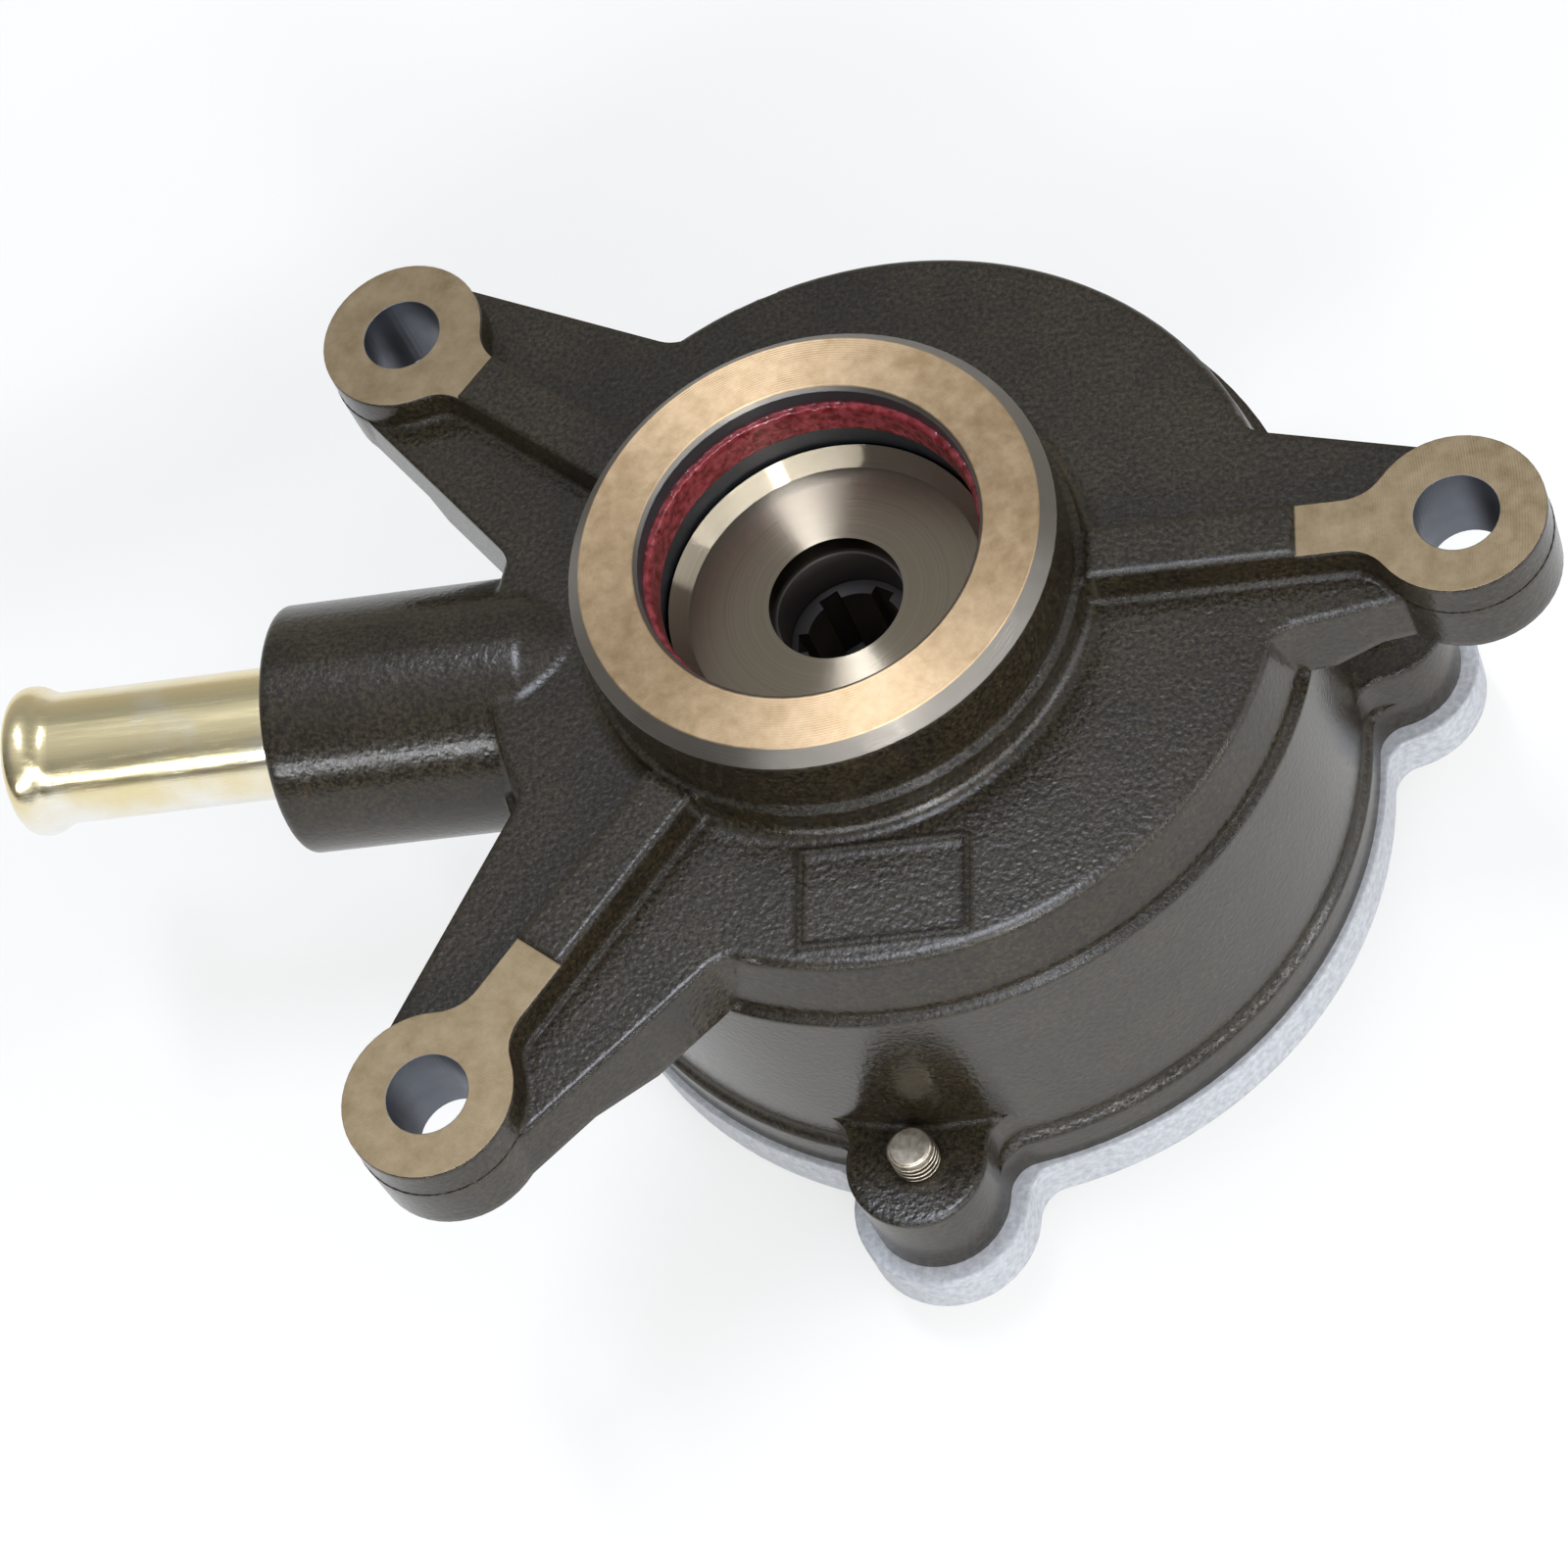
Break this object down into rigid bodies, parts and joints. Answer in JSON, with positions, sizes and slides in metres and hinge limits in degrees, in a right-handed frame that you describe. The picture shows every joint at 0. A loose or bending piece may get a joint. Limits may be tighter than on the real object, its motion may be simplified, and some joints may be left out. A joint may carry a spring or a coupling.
{
  "type": "brake vacuum pump",
  "caption": "Engine-driven vane vacuum pump for brakes: iron housing with ears and pilot spigot, end cover, rotor with sliding vanes, inlet tube with check valve.",
  "frame": {"origin": "on the rotor axis, in the plane of the machined ear pads that bolt to the engine", "axes": "+Z out of the pilot spigot towards the engine, +X away from the inlet tube towards the lone ear"},
  "size_m": [0.1668, 0.1087, 0.069],
  "materials": {
    "coated_iron": "sand cast, black coated, pads and pilot machined bare",
    "cast_aluminium": "sand cast, light grey",
    "black_rubber": "moulded",
    "plated_steel": "zinc plated",
    "red_rubber": "moulded silicone",
    "bronze": "sintered",
    "turned_steel": "turned and bare",
    "brass": "turned",
    "vane_composite": "ground carbon and resin",
    "yellow_zinc_steel": "yellow passivated zinc",
    "valve_aluminium": "turned",
    "spring_steel": "drawn wire"
  },
  "bodies": {
    "pump_body": {"housing": "coated_iron", "end_cover": "cast_aluminium", "cover_seal_ring": "black_rubber", "cover_screws": "plated_steel", "spigot_seal": "red_rubber", "shaft_bush": "bronze", "rear_bush": "bronze", "thrust_washer": "bronze", "inlet_tube": "yellow_zinc_steel", "check_valve_seat": "valve_aluminium", "valve_cage": "valve_aluminium", "check_valve_spring": "spring_steel"},
    "rotor_body": {"rotor": "turned_steel", "drive_hub": "turned_steel", "oil_jet": "brass"},
    "vane_1_body": {"vane_1": "vane_composite"},
    "vane_2_body": {"vane_2": "vane_composite"},
    "vane_3_body": {"vane_3": "vane_composite"},
    "vane_4_body": {"vane_4": "vane_composite"},
    "check_valve_body": {"check_valve_disc": "brass", "check_valve_pad": "black_rubber"}
  },
  "joints": [
    {"name": "rotor_spin", "type": "hinge", "parent": "pump_body", "child": "rotor_body", "pos_m": [0, 0, 0], "axis": [0, 0, 1], "continuous": true},
    {"name": "vane_1_slide", "type": "slide", "parent": "rotor_body", "child": "vane_1_body", "axis": [-1, 0, 0], "range_m": [-0.0035, 0.0012]},
    {"name": "vane_2_slide", "type": "slide", "parent": "rotor_body", "child": "vane_2_body", "axis": [0, 1, 0], "range_m": [-0.0012, 0.0035]},
    {"name": "vane_3_slide", "type": "slide", "parent": "rotor_body", "child": "vane_3_body", "axis": [-1, 0, 0], "range_m": [-0.0012, 0.0001]},
    {"name": "vane_4_slide", "type": "slide", "parent": "rotor_body", "child": "vane_4_body", "axis": [0, -1, 0], "range_m": [-0.0012, 0.0035]},
    {"name": "check_valve_lift", "type": "slide", "parent": "pump_body", "child": "check_valve_body", "axis": [1, 0, 0], "range_m": [0, 0.002], "stiffness_N_per_m": 120, "springref_m": -0.002, "deforming": ["check_valve_spring"]}
  ]
}
